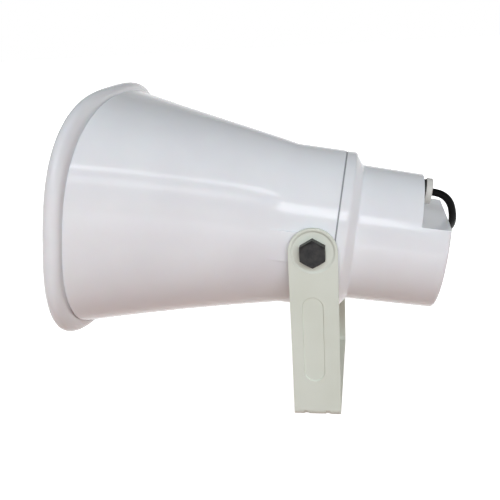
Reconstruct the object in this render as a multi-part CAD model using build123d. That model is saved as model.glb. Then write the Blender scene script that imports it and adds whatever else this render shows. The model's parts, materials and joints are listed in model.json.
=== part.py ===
from build123d import *
from math import cos, pi, radians, sin, tan
import os

# Paging horn speaker: a moulded rectangular horn with its driver in the neck, on a steel U bracket.
# Row frame: origin at the centre of the bracket's middle hole, on the mounting face, mouth toward -X.
# Horn frame: origin on the horn's axis beside the pivot, +X to the rear, +Z up; one tilt places it.

# Pose of the horn in its bracket
PIVOT_HEIGHT = 125.0
PIVOT_ABOVE_AXIS = 1.0
REST_TILT = 8.6

# Clearances
SIDE_GAP = 0.25
FIT_GAP = 0.2
SCREW_GAP = 0.3
SEAT_GAP = 0.3

# Horn flare
MOUTH_FRONT = -167.8
LIP_BACK = -156.0
LIP_WIDTH = 232.8
LIP_HEIGHT = 173.5
LIP_SQUARENESS = 3.02
LIP_SINK = 0.8
LIP_ROLL = 165.0
FLARE_WIDTH = 221.8
FLARE_HEIGHT = 165.4
FLARE_SQUARENESS = 2.54
WIDTH_GROWTH = 1.38
HEIGHT_GROWTH = 0.91
SQUARENESS_GROWTH = 1.15
BEND = -22.3
NECK_RADIUS = 59.6
SEAM = 13.2
SEAM_RADIUS = 58.8
FLARE_WALL = 2.6
OVAL_POINTS = 32
FLARE_STEPS = 8
LIP_STEPS = 6
ROUND = 2

# Flat pads on the flare's sides, where the bracket's arms bear
PAD_FACE = 59.8
PAD_HALF_HEIGHT = 11.0
PAD_REAR = 12.0
PAD_TAPER_START = -36.0
PAD_FRONT = -50.0
PAD_FRONT_HALF_HEIGHT = 5.0
PAD_DEPTH = 9.0
BOSS_RADIUS = 9.5
BOSS_INNER_FACE = 45.0
BOSS_SINK = 0.5

# Two small lugs under the seam
LUG_ANGLE = 20.0
LUG_LENGTH = 12.0
LUG_WIDTH = 9.0
LUG_DEPTH = 3.0
LUG_SLOT = 2.4

# Pivot hardware
BOLT_DIAMETER = 9.8
BOLT_ACROSS_FLATS = 17.0
BOLT_HEAD = 6.5
BOLT_CHAMFER = 0.8
BOLT_END = 46.5
INSERT_RADIUS = 7.2
WASHER_RADIUS = 13.5
WASHER_THICKNESS = 0.5

# Bracket
SHEET = 2.0
ARM_WIDTH = 33.4
DIMPLE_DEPTH = 0.8
DIMPLE_RADIUS = 15.2
DRAFT = 30
EMBOSS_WIDTH = 14.6
EMBOSS_TOP = -32.6
EMBOSS_BOTTOM = -96.6
EMBOSS_OFFSET = -1.1
BEND_RADIUS = 3.5
DART_PLACES = (-8.0, 7.4)
DART_WIDTH = 3.0
DART_LEG = 5.0
BOLT_HOLE = 10.4
BASE_HOLE = 10.5
BASE_SLOT_HOLE = 8.5
BASE_SPACING = 70.0

# Neck shoulder, bulkhead and throat
SHOULDER_FRONT = 2.0
SHOULDER_BORE = 45.0
SEAT_BORE = 54.5
BULKHEAD_FRONT = 8.0
BULKHEAD_THICKNESS = 4.0
BULKHEAD_WEB = 1.0
BULKHEAD_SCREW_CIRCLE = 49.5
BULKHEAD_SCREW_ANGLES = (22.5, 112.5, 202.5, 292.5)
EAR_ANGLES = (0, 90, 180, 270)
THROAT_BORE = 10.0
THROAT_WALL = 3.0
THROAT_FRONT = -95.0
THROAT_HUB = 22.0
THROAT_HUB_FRONT = -6.0
THROAT_TAPER = 1.0
DRIVER_BOSS_HEIGHT = 3.0
DRIVER_BOSS_RADIUS = 4.5
COVER_BOSS_HEIGHT = 6.0

# Reflector
REFLECTOR_RADIUS = 40.0
REFLECTOR_NOSE = -118.0
REFLECTOR_REAR = -35.0
REFLECTOR_SHOULDER = -88.0
REFLECTOR_WALL = 2.5
VANE_FRONT = -70.0
VANE_REAR = -40.0
VANE_THICKNESS = 2.5
VANE_ANGLE = 45.0

# Driver
DOME_RADIUS = 19.5
DOME_SAG = 5.0
DOME_THICKNESS = 0.6
DOME_CLEARANCE = 1.5
SURROUND_RADIUS = 31.0
RING_BORE = 23.0
RING_THICKNESS = 2.4
COIL_WALL = 0.4
COIL_LENGTH = 7.0
PLATE_THICKNESS = 5.0
PLATE_BORE = 20.9
EAR_REACH = 43.5
EAR_WIDTH = 14.0
EAR_HOLE_CIRCLE = 38.5
MAGNET_RADIUS = 33.0
MAGNET_BORE = 24.0
MAGNET_THICKNESS = 14.0
YOKE_THICKNESS = 5.0
POLE_RADIUS = 19.0
POLE_SETBACK = 0.5
POLE_CHAMFER = 0.8
PLUG_RADIUS = 5.0
PLUG_TIP = 1.5
PLUG_LENGTH = 6.0
PLUG_RIB = 1.6
PLUG_RIB_SETBACK = 2.0
PLUG_RIB_ANGLES = (0, 120, 240)

# Terminal board
BOARD_THICKNESS = 1.6
BOARD_WIDTH = 24.0
BOARD_BOTTOM = 34.0
BOARD_TOP = 44.0
BOARD_HOLE = 4.2
LUG_PLACE = 8.0
TAB_LENGTH = 6.0
TAB_WIDTH = 3.0
TAB_THICKNESS = 0.8

# Line transformer
CORE_WIDTH = 38.0
CORE_HEIGHT = 32.0
CORE_STACK = 14.0
CORE_LEG = 13.0
CORE_WINDOW = 6.0
CORE_WINDOW_HEIGHT = 20.0
CORE_CENTRE = -2.0
CORE_STANDOFF = 6.0
STRAP_THICKNESS = 1.2
STRAP_WIDTH = 26.0
STRAP_FOOT = 8.0
STRAP_SCREW_OFFSET = 3.6
STRAP_SCREW_DEPTH = 3.5
WINDING_BULGE = 4.2
WINDING_ROUND = 3.2

# Rear cover
COVER_RING_RADIUS = 58.4
COVER_RING_REAR = 22.5
COVER_SHOULDER_REAR = 27.1
COVER_SHOULDER_RADIUS = 49.8
COVER_REAR = 90.4
COVER_REAR_RADIUS = 47.6
COVER_WALL = 2.8
COVER_EDGE = 1.6
NOTCH_FACE = 70.0
NOTCH_SHELF = 22.0
GASKET_THICKNESS = 1.0
GASKET_RADIUS = 58.0
POST_PLACE = 28.3
POST_RADIUS = 5.5
HEAD_RECESS_RADIUS = 4.4
HEAD_RECESS_DEPTH = 2.6

# Screws: pan heads with a cross recess
COVER_SCREW_DIAMETER = 4.0
COVER_HEAD_GAP = 0.6
COVER_HEAD_HEIGHT = 2.2
SMALL_SCREW_DIAMETER = 3.0
SMALL_HEAD_RADIUS = 2.8
SMALL_HEAD_HEIGHT = 2.0
STRAP_HEAD_RADIUS = 2.6
STRAP_HEAD_HEIGHT = 1.8
RECESS_REACH = 0.45
RECESS_HALF_WIDTH = 0.4
FLARE_TIP_SETBACK = 1.0
BULKHEAD_TIP_SETBACK = 2.0

# Lead and its bushing
LEAD_DIAMETER = 5.5
LEAD_HEIGHT = 37.5
LEAD_START = 62.0
CORE_DIAMETER = 1.8
ARC_SHARE = 0.45
BUSHING_NECK = 6.4
BUSHING_NOSE = 1.0
BUSHING_FLANGE = 9.3
BUSHING_FLANGE_THICKNESS = 3.2
BUSHING_FLANGE_EDGE = 0.6
SEAL_RADIUS = 8.3
SEAL_THICKNESS = 4.5
BARB_RADIUS = 7.2
BARB_LENGTH = 2.5
BARB_GAP = 0.1
LEAD_BEND_START = 79.0
LEAD_ROUTE = (
    (91.0, 0.2, 146.4), (95.6, 1.2, 140.6), (97.6, 4.0, 132.6), (98.4, 9.5, 124.5),
    (98.0, 18.5, 118.0), (97.6, 31.0, 112.5), (97.0, 50.0, 106.0), (96.0, 72.0, 97.0),
    (93.0, 94.0, 82.0), (88.0, 113.0, 60.0), (80.0, 130.0, 37.0), (69.5, 143.5, 17.5),
    (57.0, 152.5, 6.0),
)
LEAD_FLOOR_POINTS = ((45.0, 158.5), (29.0, 161.5))
HANK_CENTRE = (12.0, 191.5)
HANK_RADIUS = 30.0
HANK_TURNS_WIDE = 2
BARE_CORE_LENGTH = 14.0
BARE_END_ANGLE = 144.0
BARE_END_TURN = -71.0
CORE_SPREAD = 2.2

# Bends of the thin leads inside the cover
INNER_LEAD_BENDS = (14.2, 4.0, 1.0, 6.0)
SUPPLY_CORE_BENDS = ((5.0, 1.1, 0.0), (7.5, 4.0, 6.0), (4.0, 8.0, 14.5))
SUPPLY_CORE_DROP = 9.2


def turned(*profile):
    """Solid turned about the horn's axis from (x, radius) corners, its seam underneath."""
    return Rot(-90, 0, 0) * revolve(make_face(Polyline(*profile, close=True)), Axis.X)


def rod(front, rear, radius, y=0.0, z=0.0):
    """Cylinder along the horn's axis direction."""
    cylinder = Cylinder(radius, rear - front, align=(Align.CENTER, Align.CENTER, Align.MIN))
    return Pos(front, y, z) * Rot(0, 90, 0) * cylinder


def cross_rod(inner, outer, radius, x=0.0, z=0.0):
    """Cylinder along +Y."""
    cylinder = Cylinder(radius, outer - inner, align=(Align.CENTER, Align.CENTER, Align.MIN))
    return Pos(x, inner, z) * Rot(-90, 0, 0) * cylinder


def block(x_span, y_span, z_span):
    """Box from its three (low, high) spans."""
    spans = (x_span, y_span, z_span)
    sizes = [high - low for low, high in spans]
    centre = [(high + low) / 2 for low, high in spans]
    return Pos(*centre) * Box(*sizes)


def across(half):
    """The span from -half to half."""
    return (-half, half)


def around(radius, angles):
    """(y, z) places on a circle round the horn's axis."""
    return [(radius * cos(radians(angle)), radius * sin(radians(angle))) for angle in angles]


def both_sides(shape):
    """A shape and its mirror twin on the other side of the horn."""
    return [shape, mirror(shape, about=Plane.XZ)]


def joined(*shapes):
    """One node made of several separate solids."""
    return Compound([solid for shape in shapes for solid in shape.solids()])


def wire_along(points, radii, diameter):
    """Round wire along straight runs joined by tangent arcs."""
    path = FilletPolyline(*points, radius=radii)
    start = Plane(origin=path @ 0, z_dir=path % 0)
    return sweep(start * Circle(diameter / 2), path=path)


def arc_radii(points):
    """Largest arc that fits each corner, from its shorter run and half its turn."""
    radii = []
    for before, corner, after in zip(points, points[1:], points[2:]):
        run_in = Vector(*corner) - Vector(*before)
        run_out = Vector(*after) - Vector(*corner)
        half_turn = radians(run_in.get_angle(run_out)) / 2
        radii.append(ARC_SHARE * min(run_in.length, run_out.length) / tan(half_turn))
    return radii


# Horn flare

neck_inside = NECK_RADIUS - FLARE_WALL
bulkhead_rear = BULKHEAD_FRONT + BULKHEAD_THICKNESS
growth_length = BEND - LIP_BACK


def flare_size(x):
    """Half width, half height and squareness of the flare's outside at x."""
    grown = min(max((BEND - x) / growth_length, 0.0), 1.0)
    half_width = NECK_RADIUS + (FLARE_WIDTH / 2 - NECK_RADIUS) * grown ** WIDTH_GROWTH
    half_height = NECK_RADIUS + (FLARE_HEIGHT / 2 - NECK_RADIUS) * grown ** HEIGHT_GROWTH
    squareness = ROUND + (FLARE_SQUARENESS - ROUND) * grown ** SQUARENESS_GROWTH
    return half_width, half_height, squareness


def oval(x, half_width, half_height, squareness):
    """Face across the horn at x: a circle where it is round, boxier above that squareness."""
    points = []
    for step in range(OVAL_POINTS):
        angle = 2 * pi * step / OVAL_POINTS - pi / 2
        reach = (abs(cos(angle)) ** squareness + abs(sin(angle)) ** squareness) ** (-1 / squareness)
        points.append((x, half_width * reach * cos(angle), half_height * reach * sin(angle)))
    return make_face(Spline(*points, periodic=True))


def flare_loft(inset):
    """The flare as a solid bell, its surface inset by a wall."""
    sections = []
    for step in range(FLARE_STEPS + 1):
        x = BEND - growth_length * step / FLARE_STEPS
        half_width, half_height, squareness = flare_size(x)
        sections.append(oval(x, half_width - inset, half_height - inset, squareness))
    return loft(sections)


def neck_stretch(rear, rear_radius, front_radius):
    """Round stretch from the flare's bend back to rear, its front edge the flare's own."""
    rear_face = oval(rear, rear_radius, rear_radius, ROUND)
    front_face = oval(BEND, front_radius, front_radius, ROUND)
    return loft([rear_face, front_face], ruled=True)


def flare_collar(inset):
    """The straight stretch of the flare inside the lip."""
    half_width, half_height, squareness = flare_size(LIP_BACK)
    face = oval(LIP_BACK, half_width - inset, half_height - inset, squareness)
    return extrude(face, amount=LIP_BACK - MOUTH_FRONT, dir=(-1, 0, 0))


def lip_bead():
    """The smooth bead that runs round the mouth."""
    half_width, half_height, squareness = flare_size(LIP_BACK)
    roll = radians(LIP_ROLL)
    half_length = (LIP_BACK - MOUTH_FRONT) / (1 - cos(roll))
    middle = LIP_BACK - half_length
    sections = []
    for step in range(LIP_STEPS + 1):
        angle = roll * step / LIP_STEPS
        rise = sin(angle)
        sections.append(oval(
            middle + half_length * cos(angle),
            half_width - LIP_SINK + (LIP_WIDTH / 2 - half_width + LIP_SINK) * rise,
            half_height - LIP_SINK + (LIP_HEIGHT / 2 - half_height + LIP_SINK) * rise,
            squareness + (LIP_SQUARENESS - squareness) * rise))
    return loft(sections)


def side_pad():
    """Flat pad on the +Y side: tapered to the front, where it fades into the flare."""
    outline = Polyline(
        (PAD_REAR, -PAD_HALF_HEIGHT), (PAD_REAR, PAD_HALF_HEIGHT),
        (PAD_TAPER_START, PAD_HALF_HEIGHT), (PAD_FRONT, PAD_FRONT_HALF_HEIGHT),
        (PAD_FRONT, -PAD_FRONT_HALF_HEIGHT), (PAD_TAPER_START, -PAD_HALF_HEIGHT), close=True)
    face = Plane.XZ * make_face(outline)
    return Pos(0, PAD_FACE, PIVOT_ABOVE_AXIS) * extrude(face, amount=PAD_DEPTH, dir=(0, -1, 0))


def seam_lug():
    """Small lug under the neck at the seam, with a slot along it, on the +Y side."""
    top = -(SEAM_RADIUS - FLARE_WALL)
    bottom = -(SEAM_RADIUS + LUG_DEPTH)
    lug = block((SEAM - LUG_LENGTH, SEAM), across(LUG_WIDTH / 2), (bottom, top))
    slot = block((SEAM - LUG_LENGTH, SEAM), across(LUG_SLOT / 2), (bottom, -SEAM_RADIUS - FIT_GAP))
    return Rot(LUG_ANGLE, 0, 0) * (lug - slot)


def build_flare():
    """The horn: neck, flare, collar, lip, pads, bosses and the inner shoulder, in one moulding."""
    neck = neck_stretch(SEAM, SEAM_RADIUS, NECK_RADIUS)
    for y, z in around(BULKHEAD_SCREW_CIRCLE, BULKHEAD_SCREW_ANGLES):
        neck -= rod(SHOULDER_FRONT, SEAM, SMALL_SCREW_DIAMETER / 2, y, z)
    body = neck + flare_loft(0) + flare_collar(0) + lip_bead()
    for shape in (side_pad(), seam_lug()):
        for piece in both_sides(shape):
            body += piece
    body -= turned(
        (SHOULDER_FRONT, 0), (SHOULDER_FRONT, SHOULDER_BORE), (BULKHEAD_FRONT, SHOULDER_BORE),
        (BULKHEAD_FRONT, SEAT_BORE), (SEAM, SEAT_BORE), (SEAM, 0))
    body -= neck_stretch(SHOULDER_FRONT, neck_inside, neck_inside)
    body = body - flare_loft(FLARE_WALL) - flare_collar(FLARE_WALL)
    boss = cross_rod(BOSS_INNER_FACE, PAD_FACE - BOSS_SINK, BOSS_RADIUS, z=PIVOT_ABOVE_AXIS)
    boss -= rod(BULKHEAD_FRONT, SEAM, SEAT_BORE)
    bore = cross_rod(BOSS_INNER_FACE, PAD_FACE, INSERT_RADIUS, z=PIVOT_ABOVE_AXIS)
    for piece in both_sides(boss):
        body += piece
    for piece in both_sides(bore):
        body -= piece
    return body


def build_inserts():
    """Threaded brass bushes pressed into the pivot bosses."""
    outer = cross_rod(BOSS_INNER_FACE, PAD_FACE, INSERT_RADIUS, z=PIVOT_ABOVE_AXIS)
    bore = cross_rod(BOSS_INNER_FACE, PAD_FACE, BOLT_DIAMETER / 2, z=PIVOT_ABOVE_AXIS)
    return joined(*both_sides(outer - bore))


# Reflector and throat

throat_outer = THROAT_BORE + THROAT_WALL
driver_boss_rear = bulkhead_rear + DRIVER_BOSS_HEIGHT
cover_boss_rear = bulkhead_rear + COVER_BOSS_HEIGHT
post_places = [(POST_PLACE * a, POST_PLACE * b) for a, b in ((1, 1), (-1, 1), (-1, -1), (1, -1))]
ear_places = around(EAR_HOLE_CIRCLE, EAR_ANGLES)
chamber_radius = DOME_RADIUS + DOME_CLEARANCE
chamber_floor = BULKHEAD_FRONT + BULKHEAD_WEB


def build_reflector():
    """Bullet-shaped reflector that folds the sound path, held in the flare by four vanes."""
    radius = REFLECTOR_RADIUS
    wall = REFLECTOR_WALL
    nose_corner = (REFLECTOR_SHOULDER, radius)
    profile = Line((REFLECTOR_NOSE, 0), (REFLECTOR_REAR, 0))
    profile += Line((REFLECTOR_REAR, 0), (REFLECTOR_REAR, radius))
    profile += Line((REFLECTOR_REAR, radius), nose_corner)
    profile += Spline(nose_corner, (REFLECTOR_NOSE, 0), tangents=((-1, 0), (0, -1)))
    outside = revolve(make_face(profile), Axis.X)
    hollow = Line((REFLECTOR_NOSE + wall, 0), (REFLECTOR_REAR, 0))
    hollow += Line((REFLECTOR_REAR, 0), (REFLECTOR_REAR, radius - wall))
    hollow += Line((REFLECTOR_REAR, radius - wall), (REFLECTOR_SHOULDER, radius - wall))
    hollow += Spline(
        (REFLECTOR_SHOULDER, radius - wall), (REFLECTOR_NOSE + wall, 0), tangents=((-1, 0), (0, -1)))
    shell = outside - revolve(make_face(hollow), Axis.X)
    vane_space = flare_loft(FLARE_WALL + SEAT_GAP)
    half = VANE_THICKNESS / 2
    reach = FLARE_WIDTH / 2
    cross = block((VANE_FRONT, VANE_REAR), across(reach), across(half))
    cross += block((VANE_FRONT, VANE_REAR), across(half), across(reach))
    core = rod(VANE_FRONT, VANE_REAR, radius - wall / 2)
    vanes = (Rot(VANE_ANGLE, 0, 0) * cross - core) & vane_space
    return shell + vanes


def build_throat():
    """Throat tube with its hub and the bulkhead that carries the driver and the rear cover."""
    tube = turned((THROAT_FRONT, THROAT_BORE - THROAT_TAPER),
                  (THROAT_FRONT, throat_outer - THROAT_TAPER),
                  (THROAT_HUB_FRONT, throat_outer), (BULKHEAD_FRONT, THROAT_HUB),
                  (BULKHEAD_FRONT, SEAT_BORE - SCREW_GAP), (bulkhead_rear, SEAT_BORE - SCREW_GAP),
                  (bulkhead_rear, chamber_radius), (chamber_floor, THROAT_BORE))
    for y, z in ear_places:
        tube += rod(bulkhead_rear, driver_boss_rear, DRIVER_BOSS_RADIUS, y, z)
        tube -= rod(chamber_floor, driver_boss_rear, SMALL_SCREW_DIAMETER / 2, y, z)
    for y, z in post_places:
        tube += rod(bulkhead_rear, cover_boss_rear, POST_RADIUS, y, z)
        tube -= rod(chamber_floor, cover_boss_rear, COVER_SCREW_DIAMETER / 2, y, z)
    for y, z in around(BULKHEAD_SCREW_CIRCLE, BULKHEAD_SCREW_ANGLES):
        tube -= rod(BULKHEAD_FRONT, bulkhead_rear, SMALL_SCREW_DIAMETER / 2 + SCREW_GAP, y, z)
    return tube


def pan_screw(tip, seat, diameter, y, z, head_radius, head_height):
    """Screw along the axis with its head toward the rear and a cross recess."""
    screw = rod(tip, seat, diameter / 2, y, z) + rod(seat, seat + head_height, head_radius, y, z)
    depth = (seat + head_height / 2, seat + head_height)
    reach = across(head_radius * RECESS_REACH)
    cross = block(depth, reach, across(RECESS_HALF_WIDTH))
    cross += block(depth, across(RECESS_HALF_WIDTH), reach)
    return screw - Pos(0, y, z) * cross


def small_screw(tip, seat, y, z):
    """The small screw that holds the bulkhead and the driver."""
    return pan_screw(tip, seat, SMALL_SCREW_DIAMETER, y, z, SMALL_HEAD_RADIUS, SMALL_HEAD_HEIGHT)


def build_bulkhead_screws():
    """Four screws that hold the bulkhead to the flare's shoulder."""
    screws = []
    for y, z in around(BULKHEAD_SCREW_CIRCLE, BULKHEAD_SCREW_ANGLES):
        screws.append(small_screw(SHOULDER_FRONT + FLARE_TIP_SETBACK, bulkhead_rear, y, z))
    return joined(*screws)


# Driver

ring_rear = bulkhead_rear + RING_THICKNESS
plate_front = driver_boss_rear
plate_rear = plate_front + PLATE_THICKNESS
magnet_rear = plate_rear + MAGNET_THICKNESS
yoke_rear = magnet_rear + YOKE_THICKNESS
dome_base = ring_rear + DOME_THICKNESS


def dome_curve(rim):
    """Half the dome's section, from its top on the axis to its rim."""
    radius = DOME_RADIUS + COIL_WALL
    ball = (radius ** 2 + DOME_SAG ** 2) / (2 * DOME_SAG)
    middle_sag = DOME_SAG - ball + (ball ** 2 - (radius / 2) ** 2) ** 0.5
    return ThreePointArc((rim - DOME_SAG, 0), (rim - middle_sag, radius / 2), (rim, radius))


def build_diaphragm():
    """Domed sheet with a flat rim, bulging to the front."""
    front = dome_base - DOME_THICKNESS
    radius = DOME_RADIUS + COIL_WALL
    section = dome_curve(front) + Line((front, radius), (front, SURROUND_RADIUS))
    section += Line((front, SURROUND_RADIUS), (dome_base, SURROUND_RADIUS))
    section += Line((dome_base, SURROUND_RADIUS), (dome_base, radius))
    section += dome_curve(dome_base)
    section += Line((front - DOME_SAG, 0), (dome_base - DOME_SAG, 0))
    return revolve(make_face(section), Axis.X)


def build_top_plate():
    """Front pole plate with four ears for the driver screws."""
    plate = rod(plate_front, plate_rear, SURROUND_RADIUS)
    for angle in (0, 90):
        ears = block((plate_front, plate_rear), across(EAR_REACH), across(EAR_WIDTH / 2))
        plate += Rot(angle, 0, 0) * ears
    plate -= rod(plate_front, plate_rear, PLATE_BORE)
    for y, z in ear_places:
        plate -= rod(plate_front, plate_rear, SMALL_SCREW_DIAMETER / 2 + SCREW_GAP, y, z)
    return plate


def build_driver_screws():
    """Four screws through the plate's ears into the bulkhead."""
    screws = []
    for y, z in ear_places:
        screws.append(small_screw(BULKHEAD_FRONT + BULKHEAD_TIP_SETBACK, plate_rear, y, z))
    return joined(*screws)


def build_phase_plug():
    """Plug in the mouth of the throat: a cone held by three ribs."""
    rear = chamber_floor
    front = rear - PLUG_LENGTH
    cone = turned((front, 0), (front, PLUG_TIP), (rear, PLUG_RADIUS), (rear, 0))
    for angle in PLUG_RIB_ANGLES:
        rib = block((front + PLUG_RIB_SETBACK, rear), across(PLUG_RIB / 2),
                    (0, THROAT_BORE - FIT_GAP))
        cone += Rot(angle, 0, 0) * rib
    return cone


# Terminal board and leads

board_rear = plate_rear + BOARD_THICKNESS
board_middle = (BOARD_BOTTOM + BOARD_TOP) / 2
tab_end = board_rear + TAB_THICKNESS + TAB_LENGTH


def build_board():
    """Terminal board on the top ear, cut out round the screw."""
    board = block((plate_rear, board_rear), across(BOARD_WIDTH / 2), (BOARD_BOTTOM, BOARD_TOP))
    return board - rod(plate_rear, board_rear, BOARD_HOLE, 0, EAR_HOLE_CIRCLE)


def build_lugs():
    """Two brass solder lugs, each a foot with a tab bent up from it."""
    lugs = []
    for side in (-1, 1):
        foot = block((board_rear, board_rear + TAB_THICKNESS),
                     across(TAB_WIDTH / 2), across(TAB_WIDTH))
        tab = block((board_rear, tab_end), across(TAB_WIDTH / 2), across(TAB_THICKNESS / 2))
        lugs.append(Pos(0, side * LUG_PLACE, board_middle) * (foot + tab))
    return joined(*lugs)


# Line transformer, strapped to the back of the yoke

core_front = yoke_rear + CORE_STANDOFF
core_rear = core_front + CORE_STACK
core_span = (core_front, core_rear)
core_half_height = CORE_HEIGHT / 2
winding_half_width = CORE_LEG / 2 + CORE_WINDOW - FIT_GAP
winding_half_height = CORE_WINDOW_HEIGHT / 2 - FIT_GAP
winding_span = (core_front - WINDING_BULGE, core_rear + WINDING_BULGE)
winding_top = CORE_CENTRE + winding_half_height
lead_place_y = winding_half_width - CORE_DIAMETER
strap_screw_place = CORE_WIDTH / 2 + STRAP_THICKNESS + STRAP_SCREW_OFFSET
strap_screw_tip = yoke_rear - STRAP_SCREW_DEPTH


def build_core():
    """Laminated core with two windows."""
    core = block(core_span, across(CORE_WIDTH / 2), across(core_half_height))
    window_middle = CORE_LEG / 2 + CORE_WINDOW / 2
    for side in (-1, 1):
        window = block(core_span, across(CORE_WINDOW / 2), across(CORE_WINDOW_HEIGHT / 2))
        core -= Pos(0, side * window_middle, 0) * window
    return Pos(0, 0, CORE_CENTRE) * core


def build_winding():
    """Taped winding round the middle leg."""
    winding = block(winding_span, across(winding_half_width), across(winding_half_height))
    winding = fillet(winding.edges().filter_by(Axis.Z), WINDING_ROUND)
    leg = block((core_front - FIT_GAP, core_rear + FIT_GAP),
                across(CORE_LEG / 2 + FIT_GAP), across(winding_half_height))
    return Pos(0, 0, CORE_CENTRE) * (winding - leg)


def build_strap():
    """Steel strap over the core, open round the winding, with two feet on the yoke."""
    inner_half = CORE_WIDTH / 2
    outer_half = inner_half + STRAP_THICKNESS
    rear = core_rear + STRAP_THICKNESS
    half = STRAP_WIDTH / 2
    loop = block((yoke_rear, rear), across(outer_half), across(half))
    loop -= block((yoke_rear, core_rear), across(inner_half), across(half))
    loop -= block((core_rear, rear), across(winding_half_width + SCREW_GAP),
                  across(winding_half_height + SCREW_GAP))
    for side in (-1, 1):
        foot = block((yoke_rear, yoke_rear + STRAP_THICKNESS),
                     across(STRAP_FOOT / 2), across(half))
        loop += Pos(0, side * (outer_half + STRAP_FOOT / 2 - STRAP_THICKNESS), 0) * foot
        loop -= rod(yoke_rear, yoke_rear + STRAP_THICKNESS,
                    SMALL_SCREW_DIAMETER / 2 + SCREW_GAP, side * strap_screw_place)
    return Pos(0, 0, CORE_CENTRE) * loop


def build_strap_screws():
    """Two short screws through the strap's feet into the yoke."""
    screws = []
    for side in (-1, 1):
        screws.append(pan_screw(
            strap_screw_tip, yoke_rear + STRAP_THICKNESS, SMALL_SCREW_DIAMETER,
            side * strap_screw_place, CORE_CENTRE, STRAP_HEAD_RADIUS, STRAP_HEAD_HEIGHT))
    return joined(*screws)


def build_yoke():
    """Back plate and pole in one turning, drilled for the strap's screws."""
    pole_front = plate_front + POLE_SETBACK
    yoke = turned((pole_front, 0), (pole_front, POLE_RADIUS - POLE_CHAMFER),
                  (pole_front + POLE_CHAMFER, POLE_RADIUS), (magnet_rear, POLE_RADIUS),
                  (magnet_rear, SURROUND_RADIUS), (yoke_rear, SURROUND_RADIUS), (yoke_rear, 0))
    for side in (-1, 1):
        yoke -= rod(strap_screw_tip, yoke_rear, SMALL_SCREW_DIAMETER / 2,
                    side * strap_screw_place, CORE_CENTRE)
    return yoke


def build_inner_leads():
    """Two leads from the winding to the terminal tabs."""
    leads = []
    x = core_front - WINDING_BULGE / 2
    rise, below, nearer, before = INNER_LEAD_BENDS
    for side in (-1, 1):
        points = [
            (x, side * lead_place_y, winding_top), (x, side * lead_place_y, winding_top + rise),
            (x - nearer, side * LUG_PLACE, board_middle - below),
            (x - before, side * LUG_PLACE, board_middle), (tab_end, side * LUG_PLACE, board_middle)]
        leads.append(wire_along(points, arc_radii(points), CORE_DIAMETER))
    return joined(*leads)


def build_supply_cores():
    """The lead's two cores, from the end of its sheath to the winding."""
    cores = []
    x = core_rear + STRAP_THICKNESS + CORE_DIAMETER / 2 + SEAT_GAP
    for side in (-1, 1):
        points = [(LEAD_START, side * CORE_SPREAD / 2, LEAD_HEIGHT)]
        for back, out, down in SUPPLY_CORE_BENDS:
            points.append((LEAD_START - back, side * out, LEAD_HEIGHT - down))
        points += [(x, side * lead_place_y, winding_top + SUPPLY_CORE_DROP),
                   (x, side * lead_place_y, winding_top)]
        cores.append(wire_along(points, arc_radii(points), CORE_DIAMETER))
    return joined(*cores)


# Rear cover

cover_front = SEAM + GASKET_THICKNESS
cover_inside = COVER_REAR_RADIUS - COVER_WALL
cap_taper = (COVER_SHOULDER_RADIUS - COVER_REAR_RADIUS) / (COVER_REAR - COVER_SHOULDER_REAR)
floor_inside = COVER_REAR - COVER_WALL
head_seat_upper = NOTCH_FACE - HEAD_RECESS_DEPTH
head_seat_lower = COVER_REAR - HEAD_RECESS_DEPTH


def build_cover():
    """Rear cover: ring, sloping shoulder, cap with the lead's notch, and four screw posts."""
    body = turned(
        (cover_front, 0), (cover_front, COVER_RING_RADIUS), (COVER_RING_REAR, COVER_RING_RADIUS),
        (COVER_SHOULDER_REAR, COVER_SHOULDER_RADIUS),
        (COVER_REAR - COVER_EDGE, COVER_REAR_RADIUS + COVER_EDGE * cap_taper),
        (COVER_REAR, COVER_REAR_RADIUS - COVER_EDGE), (COVER_REAR, 0))
    cavity = turned(
        (cover_front, 0), (cover_front, SEAT_BORE), (COVER_RING_REAR - COVER_WALL, SEAT_BORE),
        (COVER_SHOULDER_REAR, COVER_SHOULDER_RADIUS - COVER_WALL), (floor_inside, cover_inside),
        (floor_inside, 0))
    span = COVER_SHOULDER_RADIUS
    notch = block((NOTCH_FACE, COVER_REAR), across(span), (NOTCH_SHELF, span))
    kept = block((NOTCH_FACE - COVER_WALL, COVER_REAR), across(span), (NOTCH_SHELF - COVER_WALL, span))
    cover = body - (cavity - kept) - notch
    for y, z in post_places:
        seat = head_seat_upper if z > 0 else head_seat_lower
        wall = NOTCH_FACE if z > 0 else COVER_REAR
        cover += rod(cover_boss_rear, wall, POST_RADIUS, y, z)
        cover -= rod(cover_boss_rear, wall, COVER_SCREW_DIAMETER / 2 + SCREW_GAP, y, z)
        cover -= rod(seat, wall, HEAD_RECESS_RADIUS, y, z)
    return cover - rod(NOTCH_FACE - COVER_WALL, NOTCH_FACE, BUSHING_NECK + FIT_GAP, 0, LEAD_HEIGHT)


def build_cover_screws():
    """Four long screws through the cover's posts into the bulkhead."""
    screws = []
    for y, z in post_places:
        seat = head_seat_upper if z > 0 else head_seat_lower
        screws.append(pan_screw(
            BULKHEAD_FRONT + BULKHEAD_TIP_SETBACK, seat, COVER_SCREW_DIAMETER, y, z,
            HEAD_RECESS_RADIUS - COVER_HEAD_GAP, COVER_HEAD_HEIGHT))
    return joined(*screws)


# Lead

flange_front = NOTCH_FACE + SEAL_THICKNESS
flange_rear = flange_front + BUSHING_FLANGE_THICKNESS
wall_inside = NOTCH_FACE - COVER_WALL
lead_radius = LEAD_DIAMETER / 2


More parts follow.
